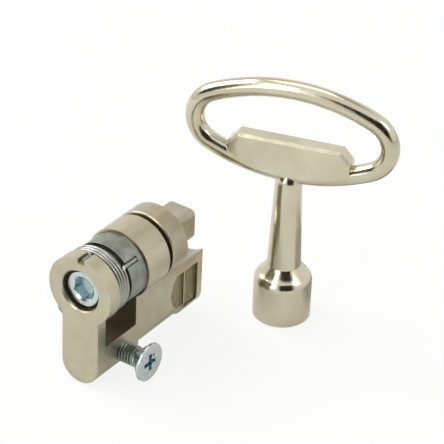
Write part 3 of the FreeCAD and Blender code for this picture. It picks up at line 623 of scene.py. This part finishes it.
def addThread(bm, length, major, depth, pitch):
    # an outside thread round Z: the profile of one pitch spun as a helix, then cut square at both ends
    rod = bmesh.new()
    verts = [rod.verts.new((major - sink * depth, 0, (share - 1) * pitch))
             for share, sink in thread["profile"]]
    edges = [rod.edges.new(pair) for pair in zip(verts, verts[1:])]
    turns = int(length / pitch) + thread["spareTurns"]
    bmesh.ops.spin(rod, geom=verts + edges, cent=origin, axis=axisZ, dvec=axisZ * (pitch / thread["sides"]),
                   angle=2 * pi * turns, steps=thread["sides"] * turns, use_merge=False, use_duplicate=False)
    bmesh.ops.remove_doubles(rod, verts=rod.verts, dist=touching)
    for height, side in ((0, -1), (length, 1)):
        bmesh.ops.bisect_plane(rod, geom=rod.verts[:] + rod.edges[:] + rod.faces[:], dist=touching,
                               plane_co=axisZ * height, plane_no=axisZ * side, clear_outer=True)
    bmesh.ops.holes_fill(rod, edges=[edge for edge in rod.edges if edge.is_boundary], sides=0)
    for vert in rod.verts:
        # the turned point at the tip
        most = major - depth * thread["point"] + vert.co.z
        radius = vert.co.xy.length
        if radius > most:
            vert.co.xy *= most / radius
    bmesh.ops.recalc_face_normals(rod, faces=rod.faces)
    mesh = bpy.data.meshes.new("rod")
    rod.to_mesh(mesh)
    rod.free()
    bm.from_mesh(mesh)
    bpy.data.meshes.remove(mesh)


def tintInside(bm, radius, low, high, floor):
    # the walls of a recess take their own finish and its floor the given one
    for face in bm.faces:
        centre = face.calc_center_median()
        if centre.xy.length < radius and low < centre.z < high:
            face.material_index = floor if face.normal.z > upright else wallFinish


def shadeThreadRoots(bm, length, major, depth):
    # the roots between the crests take their own finish, which paints shade there
    for face in bm.faces:
        centre = face.calc_center_median()
        if 0 < centre.z < length and centre.xy.length < major - depth * thread["root"]:
            face.material_index = rootShadeFinish


fixing = {
    "major": 2.45,           # mm, M5 thread
    "pitch": 0.8,
    "depth": 0.46,
    "threadLength": 12.5,
    "overlap": 0.3,          # mm that the neck reaches into the thread
    "neck": 2.16,            # mm, radius of the plain neck
    "flare": (0.25, 0.1),    # mm below and above the foot of the cone, over which the neck widens
    "rim": 0.75,             # mm, height of the head's upright rim
    "rimRound": (0.1, 0.12),     # mm up and in, where the cone meets the rim
    "faceRound": (0.2, 0.06),    # mm, start and middle of the round at the face
    "cross": 2.3,            # mm, reach of a wing from the centre
    "wing": 0.58,            # mm, half width of a wing at the face
    "crossDepth": 2.0,
    "crossFoot": (0.45, 0.55),   # share of a wing's reach and of its width that is left at the bottom
    "over": 0.2,             # mm that the cutter stands out of the face
    "tintRadius": 3.2,       # mm, everything below the face and nearer to the axis is the cross
    "dimple": 0.42,          # mm, radius of the punched mark between two wings
    "dimplePlace": (-1.55, 1.2),
    "spare": 0.02,           # mm, when faces are chosen
}


def makeFixingScrew():
    low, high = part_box("fixing_screw")
    length = high.x - low.x
    head = (high.z - low.z) / 2
    major, depth, neck = fixing["major"] * mm, fixing["depth"] * mm, fixing["neck"] * mm
    rim, threadLength, spare = fixing["rim"] * mm, fixing["threadLength"] * mm, fixing["spare"] * mm
    cone = length - rim - (head - major)
    neckFoot = threadLength - fixing["overlap"] * mm
    below, above = [value * mm for value in fixing["flare"]]
    rimUp, rimIn = [value * mm for value in fixing["rimRound"]]
    start, middle = [value * mm for value in fixing["faceRound"]]
    bm = lathe([(neckFoot, 0), (neckFoot, neck), (cone - below, neck), (cone + above, major),
                (length - rim, head - rimIn), (length - rim + rimUp, head), (length - start, head),
                (length - middle, head - middle), (length, head - start), (length, 0)], headSides)
    cutter = bmesh.new()
    for turn in (0, 90):
        wing = bmesh.ops.create_cube(cutter, size=2.0)["verts"]
        for vert in wing:
            # a wing narrows towards the bottom of the cross
            deep = vert.co.z < 0
            reachLeft, widthLeft = fixing["crossFoot"] if deep else (1.0, 1.0)
            vert.co.x *= fixing["cross"] * mm * reachLeft
            vert.co.y *= fixing["wing"] * mm * widthLeft
            vert.co.z = -fixing["crossDepth"] * mm if deep else fixing["over"] * mm
        bmesh.ops.rotate(cutter, verts=wing, cent=origin, matrix=Matrix.Rotation(radians(turn), 3, "Z"))
    bmesh.ops.translate(cutter, verts=cutter.verts, vec=axisZ * length)
    bm = cutAway(bm, cutter)
    mark = bmesh.new()
    spot = Vector((fixing["dimplePlace"][0] * mm, fixing["dimplePlace"][1] * mm, length))
    bmesh.ops.create_icosphere(mark, subdivisions=3, radius=fixing["dimple"] * mm,
                               matrix=Matrix.Translation(spot))
    bm = cutAway(bm, mark)
    tintInside(bm, fixing["tintRadius"] * mm, cone, length - spare, wallFinish)
    for face in bm.faces:
        # the mark takes the roots' painted shade
        if (face.calc_center_median() - spot).length < fixing["dimple"] * mm + spare:
            face.material_index = rootShadeFinish
    addThread(bm, threadLength, major, depth, fixing["pitch"] * mm)
    shadeThreadRoots(bm, threadLength, major, depth)
    place = Matrix.Translation((low.x, (low.y + high.y) / 2, (low.z + high.z) / 2))
    bmesh.ops.transform(bm, matrix=place @ Matrix.Rotation(pi / 2, 4, "Y"), verts=bm.verts)
    finishPiece(bm, "fixing_screw_m5", screwFinishes, "fixing_screw", "fixing_screw", screwSharp)


capScrew = {
    "major": 2.95,           # mm, M6 thread
    "pitch": 1.0,
    "depth": 0.6,
    "overlap": 0.2,          # mm that the thread reaches into the head
    "headHeight": 5.0,       # mm
    "edge": 0.25,            # mm, round of the head's upper edge; the lower one has half of it
    "edgeMiddle": 0.3,       # share of that round at its middle
    "hex": 5.0,              # mm across the flats
    "hexDepth": 3.0,
    "hexAngle": 23.5,        # degrees, direction of a corner
    "over": 1.0,             # mm that the cutter stands out of the face
    "mouth": 0.22,           # mm, chamfer at the mouth of the hexagon
    "mouthSlope": 0.6,       # depth of the chamfer's cone against its radius
    "mouthSides": 64,
    "mouthOver": 0.001,      # mm that the cone stands out of the face
    "tintStart": 0.3,        # mm below the face, where the recess takes its tint
    "tintWide": 1.02,        # corners of the hexagon times this hold the whole recess
}


def makeCapScrew():
    low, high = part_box("cap_screw")
    length = high.y - low.y
    head = (high.x - low.x) / 2
    under = length - capScrew["headHeight"] * mm
    edge = capScrew["edge"] * mm
    middle = edge * capScrew["edgeMiddle"]
    bm = lathe([(under, 0), (under, head - edge / 2), (under + edge / 2, head), (length - edge, head),
                (length - middle, head - middle), (length, head - edge), (length, 0)], headSides)
    corner = capScrew["hex"] * mm / 2 / cos(pi / 6)
    depth, over = capScrew["hexDepth"] * mm, capScrew["over"] * mm
    cutter = bmesh.new()
    bmesh.ops.create_cone(cutter, cap_ends=True, segments=6, radius1=corner, radius2=corner,
                          depth=depth + over, matrix=Matrix.Translation((0, 0, (over - depth) / 2)))
    # a new cone has a corner at 30 degrees
    bmesh.ops.rotate(cutter, verts=cutter.verts, cent=origin,
                     matrix=Matrix.Rotation(radians(capScrew["hexAngle"] - 30), 3, "Z"))
    bmesh.ops.translate(cutter, verts=cutter.verts, vec=axisZ * length)
    bm = cutAway(bm, cutter)
    mouth = bmesh.new()
    wide = corner + capScrew["mouth"] * mm
    sink = wide * capScrew["mouthSlope"]
    level = length - sink / 2 + capScrew["mouthOver"] * mm
    bmesh.ops.create_cone(mouth, cap_ends=True, segments=capScrew["mouthSides"], radius1=0, radius2=wide,
                          depth=sink, matrix=Matrix.Translation((0, 0, level)))
    bm = cutAway(bm, mouth)
    # the hexagon's floor takes the near-white finish that paints light there
    tintInside(bm, corner * capScrew["tintWide"], under, length - capScrew["tintStart"] * mm, litFloorFinish)
    addThread(bm, under + capScrew["overlap"] * mm, capScrew["major"] * mm, capScrew["depth"] * mm,
              capScrew["pitch"] * mm)
    place = Matrix.Translation((0, high.y, 0))
    bmesh.ops.transform(bm, matrix=place @ Matrix.Rotation(pi / 2, 4, "X"), verts=bm.verts)
    finishPiece(bm, "cap_screw_m6", screwFinishes, "plug", "cap_screw", screwSharp)


makeFixingScrew()
makeCapScrew()
# the split washer is the CAD node itself
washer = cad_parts["lock_washer"].data
washer.materials.clear()
washer.materials.append(springSteel)
print("screws cut")


# camera, light and floor

camera = {
    "place": (267.74, -346.11, 294.92),      # mm
    "turn": (57.972, -2.212, 34.924),        # degrees
    "lens": 194.6,                           # mm
    "sensor": 36,                            # mm, width
    "shift": (-0.01544, -0.02135),
    "nearest": 0.01,                         # metres
}


def makeCamera():
    data = bpy.data.cameras.new("photo_camera")
    data.lens = camera["lens"]
    data.sensor_width = camera["sensor"]
    data.shift_x, data.shift_y = camera["shift"]
    data.clip_start = camera["nearest"]
    thing = bpy.data.objects.new("photo_camera", data)
    thing.location = Vector(camera["place"]) * mm
    thing.rotation_euler = [radians(value) for value in camera["turn"]]
    scene.collection.objects.link(thing)
    scene.camera = thing


studio = {
    "floorColour": "#F6F6F4",
    "floorSize": 8.0,             # metres
    "floorGap": 0.1,              # mm that the floor lies below the object
    "floorLift": (0.85, 0.3),     # how far the floor is lifted to plain white for the camera and for metal
    "worldLight": 0.30,
    "aim": (10, 25, 0),           # mm, what every lamp and every standing flag faces
    # lamps: name, degrees to the right of the camera, degrees up, distance, width and height in metres, watts
    "lamps": [
        ("left_softbox", -118, 42, 0.80, 0.55, 0.50, 4.4),
        ("front_left_softbox", -42, 26, 0.75, 0.20, 0.40, 0.9),
        ("right_softbox", 66, 40, 0.80, 0.22, 0.30, 1.1),
        ("top_softbox", 178, 69, 0.75, 0.40, 0.40, 0.8),
        ("edge_lamp", -51, 52, 0.75, 0.14, 0.14, 0.5),
    ],
    # flags that only the metal sees: name, place as for a lamp, width and height in metres, colour
    "flags": [
        ("front_flag", 12, 22, 0.60, 0.86, 0.66, "#2A2721"),
        ("left_flag", -76, 27, 0.70, 0.60, 0.42, "#3A382F"),
        ("back_wall", 180, 58, 0.90, 1.30, 0.66, "#B6B2A8"),
    ],
    "flagEdge": 3.0,              # the more, the narrower a flag's soft edge
    # mm, left, right, near and far edge of a flag that lies on the floor behind the key, where it paints the
    # floor's shadow for the metal to see, and its colour
    "floorShadowFlag": (-5, 75, 54, 102, "#B4B2A9"),
    "floorShadowFlagGap": 0.05,         # mm between that flag and the floor
}


def studioPlace(turn, rise, away):
    # a place given from the aim, facing back to it
    camAngle = atan2(camera["place"][1], camera["place"][0]) + radians(turn)
    aim = Vector(studio["aim"]) * mm
    spot = aim + away * Vector((cos(camAngle) * cos(radians(rise)), sin(camAngle) * cos(radians(rise)),
                                sin(radians(rise))))
    return Matrix.Translation(spot) @ (aim - spot).to_track_quat("-Z", "Y").to_matrix().to_4x4()


def addPlane(name, material, matrix):
    # a stage plane one metre wide before matrix
    bm = bmesh.new()
    bmesh.ops.create_grid(bm, x_segments=1, y_segments=1, size=0.5, matrix=matrix)
    mesh = bpy.data.meshes.new(name)
    bm.to_mesh(mesh)
    bm.free()
    mesh.materials.append(material)
    plane = bpy.data.objects.new(name, mesh)
    scene.collection.objects.link(plane)
    return plane


def addFlag(name, matrix, colour):
    # an oval of one colour with a soft edge
    material, tree = newMaterial(name)
    corner = addNode(tree, "ShaderNodeTexCoord").outputs["Generated"]
    centred = addNode(tree, "ShaderNodeVectorMath",
                      {"operation": "MULTIPLY_ADD", 1: (2, 2, 0), 2: (-1, -1, 0)}, {0: corner})
    oval = addNode(tree, "ShaderNodeTexGradient", {"gradient_type": "SPHERICAL"},
                   {"Vector": centred.outputs["Vector"]})
    solid = addNode(tree, "ShaderNodeMath",
                    {"operation": "MULTIPLY", "use_clamp": True, 1: studio["flagEdge"]},
                    {0: oval.outputs["Fac"]})
    clear = addNode(tree, "ShaderNodeBsdfTransparent")
    plain = addNode(tree, "ShaderNodeEmission", {"Color": linear(colour), "Strength": 1.0})
    mixed = addNode(tree, "ShaderNodeMixShader",
                    links={"Fac": solid.outputs["Value"], 1: clear.outputs["BSDF"],
                           2: plain.outputs["Emission"]})
    addNode(tree, "ShaderNodeOutputMaterial", links={"Surface": mixed.outputs["Shader"]})
    flag = addPlane(name, material, matrix)
    flag.visible_camera = flag.visible_diffuse = flag.visible_shadow = False


def addLamp(name, matrix, wide, high, power):
    light = bpy.data.lights.new(name, "AREA")
    light.shape = "RECTANGLE"
    light.size, light.size_y = wide, high
    light.energy = power
    lamp = bpy.data.objects.new(name, light)
    lamp.matrix_world = matrix
    scene.collection.objects.link(lamp)


def studioFloor():
    # matt white paper, lifted most of the way to plain white for the camera and a little for metal
    material, tree = newMaterial("studio_floor")
    seen = addNode(tree, "ShaderNodeLightPath")
    clear, mirrored = studio["floorLift"]
    straight = addNode(tree, "ShaderNodeMath", {"operation": "MAXIMUM"},
                       {0: seen.outputs["Is Camera Ray"], 1: seen.outputs["Is Transmission Ray"]})
    shiny = addNode(tree, "ShaderNodeMath", {"operation": "MULTIPLY", 1: mirrored},
                    {0: seen.outputs["Is Glossy Ray"]})
    lift = addNode(tree, "ShaderNodeMath", {"operation": "MULTIPLY_ADD", 1: clear},
                   {0: straight.outputs["Value"], 2: shiny.outputs["Value"]})
    matt = addNode(tree, "ShaderNodeBsdfDiffuse", {"Color": linear(studio["floorColour"])})
    white = addNode(tree, "ShaderNodeEmission", {"Color": linear("#FFFFFF"), "Strength": 1.0})
    mixed = addNode(tree, "ShaderNodeMixShader",
                    links={"Fac": lift.outputs["Value"], 1: matt.outputs["BSDF"],
                           2: white.outputs["Emission"]})
    addNode(tree, "ShaderNodeOutputMaterial", links={"Surface": mixed.outputs["Shader"]})
    return material


def makeWorld():
    # soft light all round; the camera and metal see it as plain white
    world = bpy.data.worlds.new("studio_world")
    world.use_nodes = True
    tree = world.node_tree
    tree.nodes.clear()
    seen = addNode(tree, "ShaderNodeLightPath")
    shiny = addNode(tree, "ShaderNodeMath", {"operation": "MAXIMUM"},
                    {0: seen.outputs["Is Glossy Ray"], 1: seen.outputs["Is Transmission Ray"]})
    shown = addNode(tree, "ShaderNodeMath", {"operation": "MAXIMUM"},
                    {0: seen.outputs["Is Camera Ray"], 1: shiny.outputs["Value"]})
    lit = addNode(tree, "ShaderNodeBackground",
                  {"Color": linear("#FFFFFF"), "Strength": studio["worldLight"]})
    white = addNode(tree, "ShaderNodeBackground", {"Color": linear("#FFFFFF"), "Strength": 1.0})
    mixed = addNode(tree, "ShaderNodeMixShader",
                    links={"Fac": shown.outputs["Value"], 1: lit.outputs[0], 2: white.outputs[0]})
    addNode(tree, "ShaderNodeOutputWorld", links={"Surface": mixed.outputs["Shader"]})
    scene.world = world


def makeStudio():
    floorLevel = cadBounds[0][2] - studio["floorGap"] * mm
    addPlane("studio_floor", studioFloor(),
             Matrix.Translation((0, 0, floorLevel)) @ Matrix.Scale(studio["floorSize"], 4))
    for name, turn, rise, away, wide, high, colour in studio["flags"]:
        addFlag(name, studioPlace(turn, rise, away) @ Matrix.Diagonal((wide, high, 1, 1)), colour)
    # the floor's shadow, painted on a sheet that only the metal sees
    left, right, near, far, colour = studio["floorShadowFlag"]
    middle = ((left + right) / 2 * mm, (near + far) / 2 * mm, floorLevel + studio["floorShadowFlagGap"] * mm)
    size = ((right - left) * mm, (far - near) * mm, 1, 1)
    addFlag("floor_shadow_flag", Matrix.Translation(middle) @ Matrix.Diagonal(size), colour)
    for name, turn, rise, away, wide, high, power in studio["lamps"]:
        addLamp(name, studioPlace(turn, rise, away), wide, high, power)
    makeWorld()


makeCamera()
makeStudio()
scene.view_settings.view_transform = "Standard"
print("studio lit")
